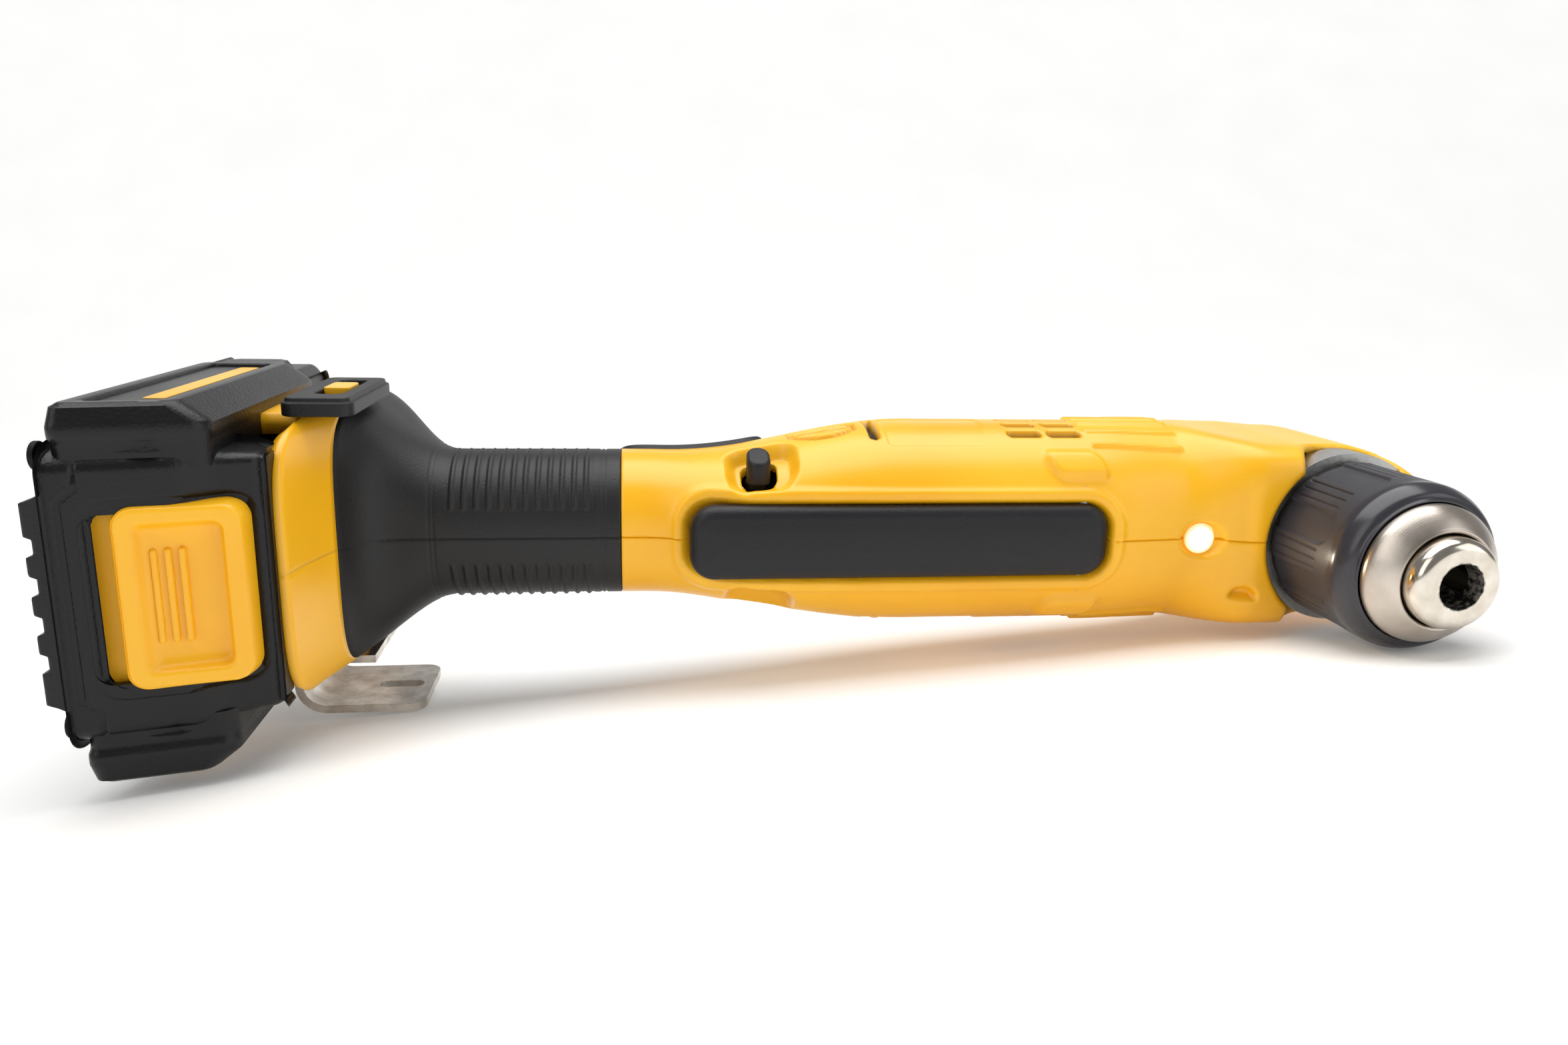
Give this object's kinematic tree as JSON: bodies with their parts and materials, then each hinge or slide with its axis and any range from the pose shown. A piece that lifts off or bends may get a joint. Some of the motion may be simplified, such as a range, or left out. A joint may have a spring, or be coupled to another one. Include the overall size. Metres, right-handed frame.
{
  "type": "right angle drill",
  "caption": "Cordless right angle drill with a long paddle trigger, round motor body, keyless chuck set square to it and a slide-on battery pack.",
  "frame": {"origin": "centre of the chuck's mouth, where a bit goes in", "axes": "-Y out of the chuck along the spindle, +X along the tool towards the head, +Z square to the parting plane of the housing"},
  "size_m": [0.3177, 0.11, 0.0835],
  "materials": {
    "yellow_housing": "moulded ABS, fine satin",
    "black_rubber": "overmoulded elastomer, matt",
    "black_plastic": "moulded nylon, satin",
    "steel": "turned or ground steel",
    "nickel_plate": "satin nickel plate",
    "cast_alloy": "die cast",
    "copper": "enamelled wire and bars",
    "circuit_board": "solder mask",
    "cell_wrap": "shrink sleeve",
    "wire_cover": "PVC",
    "clear_lens": "moulded polycarbonate"
  },
  "bodies": {
    "tool": {"housing_upper": "yellow_housing", "housing_lower": "yellow_housing", "grip_upper": "black_rubber", "grip_lower": "black_rubber", "housing_screws": "steel", "trigger_pin": "steel", "trigger_spring": "steel", "switch_body": "black_plastic", "light_lens": "clear_lens", "light_board": "circuit_board", "gear_case": "cast_alloy", "dust_ring": "black_plastic", "front_bearing": "steel", "rear_bearing": "steel", "carrier_bearing": "steel", "ring_gear": "steel", "motor_can": "steel", "motor_magnets": "steel", "motor_end_cap": "black_plastic", "motor_bearing": "steel", "terminal_block": "black_plastic", "motor_leads": "wire_cover", "bit_holder": "black_plastic", "bit_clip": "yellow_housing", "belt_hook": "nickel_plate", "hook_screw": "steel"},
    "paddle": {"paddle_trigger": "black_plastic"},
    "plunger": {"switch_plunger": "black_plastic"},
    "direction": {"direction_button": "black_plastic"},
    "selector": {"speed_selector": "black_plastic", "shift_ring": "steel"},
    "output": {"spindle": "steel", "bevel_gear": "steel", "chuck_body": "nickel_plate", "chuck_screw": "steel"},
    "sleeve": {"chuck_sleeve": "black_plastic", "nose_cone": "nickel_plate", "jaw_nut": "steel"},
    "jaw_a": {"jaw_1": "steel"},
    "jaw_b": {"jaw_2": "steel"},
    "jaw_c": {"jaw_3": "steel"},
    "carrier": {"carrier": "steel", "bevel_pinion": "steel"},
    "planet_a": {"planet_1": "steel"},
    "planet_b": {"planet_2": "steel"},
    "planet_c": {"planet_3": "steel"},
    "rotor": {"armature": "copper", "commutator": "copper", "cooling_fan": "black_plastic", "sun_gear": "steel"},
    "pack": {"pack_case": "black_plastic", "pack_cover": "black_plastic", "pack_cells": "cell_wrap", "contact_board": "circuit_board", "pack_screws": "steel", "latch_spring": "steel"},
    "release": {"release_button": "yellow_housing"}
  },
  "joints": [
    {"name": "spindle_spin", "type": "hinge", "parent": "tool", "child": "output", "pos_m": [0, 0, 0], "axis": [0, 1, 0], "continuous": true},
    {"name": "carrier_spin", "type": "hinge", "parent": "tool", "child": "carrier", "pos_m": [-0.045, 0.067, 0], "axis": [1, 0, 0], "continuous": true},
    {"name": "rotor_spin", "type": "hinge", "parent": "tool", "child": "rotor", "pos_m": [-0.11, 0.067, 0], "axis": [1, 0, 0], "continuous": true},
    {"name": "planet_a_spin", "type": "hinge", "parent": "carrier", "child": "planet_a", "pos_m": [-0.054, 0.067, 0.0105], "axis": [1, 0, 0], "continuous": true},
    {"name": "planet_b_spin", "type": "hinge", "parent": "carrier", "child": "planet_b", "pos_m": [-0.054, 0.05791, -0.00525], "axis": [1, 0, 0], "continuous": true},
    {"name": "planet_c_spin", "type": "hinge", "parent": "carrier", "child": "planet_c", "pos_m": [-0.054, 0.07609, -0.00525], "axis": [1, 0, 0], "continuous": true},
    {"name": "sleeve_turn", "type": "hinge", "parent": "output", "child": "sleeve", "pos_m": [0, 0.02, 0], "axis": [0, 1, 0], "range_deg": [0, 2520]},
    {"name": "jaw_a_slide", "type": "slide", "parent": "output", "child": "jaw_a", "axis": [-0.2504, -0.9681, 0], "range_m": [0, 0.0175]},
    {"name": "jaw_b_slide", "type": "slide", "parent": "output", "child": "jaw_b", "axis": [0.1252, -0.9681, 0.2168], "range_m": [0, 0.0175]},
    {"name": "jaw_c_slide", "type": "slide", "parent": "output", "child": "jaw_c", "axis": [0.1252, -0.9681, -0.2168], "range_m": [0, 0.0175]},
    {"name": "paddle_press", "type": "hinge", "parent": "tool", "child": "paddle", "pos_m": [-0.069, 0.0455, 0], "axis": [0, 0, -1], "range_deg": [0, 3.5], "stiffness_Nm_per_rad": 2, "springref_deg": -8.59, "deforming": ["trigger_spring"]},
    {"name": "plunger_press", "type": "slide", "parent": "tool", "child": "plunger", "axis": [0, 1, 0], "range_m": [0, 0.0056]},
    {"name": "direction_slide", "type": "slide", "parent": "tool", "child": "direction", "axis": [0, 0, -1], "range_m": [0, 0.007]},
    {"name": "selector_slide", "type": "slide", "parent": "tool", "child": "selector", "axis": [1, 0, 0], "range_m": [0, 0.006]},
    {"name": "pack_slide", "type": "slide", "parent": "tool", "child": "pack", "axis": [0, -1, 0], "range_m": [0, 0.085]},
    {"name": "release_press", "type": "slide", "parent": "pack", "child": "release", "axis": [-1, 0, 0], "range_m": [0, 0.0045], "stiffness_N_per_m": 1500, "springref_m": -0.003, "deforming": ["latch_spring"]}
  ],
  "couplings": [
    {"joint": "carrier_spin", "follows": "rotor_spin", "ratio": 0.2},
    {"joint": "spindle_spin", "follows": "rotor_spin", "ratio": 0.1},
    {"joint": "planet_a_spin", "follows": "rotor_spin", "ratio": -0.53333},
    {"joint": "planet_b_spin", "follows": "rotor_spin", "ratio": -0.53333},
    {"joint": "planet_c_spin", "follows": "rotor_spin", "ratio": -0.53333},
    {"joint": "jaw_a_slide", "follows": "sleeve_turn", "m_per_rad": 0.00039789},
    {"joint": "jaw_b_slide", "follows": "sleeve_turn", "m_per_rad": 0.00039789},
    {"joint": "jaw_c_slide", "follows": "sleeve_turn", "m_per_rad": 0.00039789},
    {"joint": "plunger_press", "follows": "paddle_press", "m_per_rad": 0.091}
  ]
}
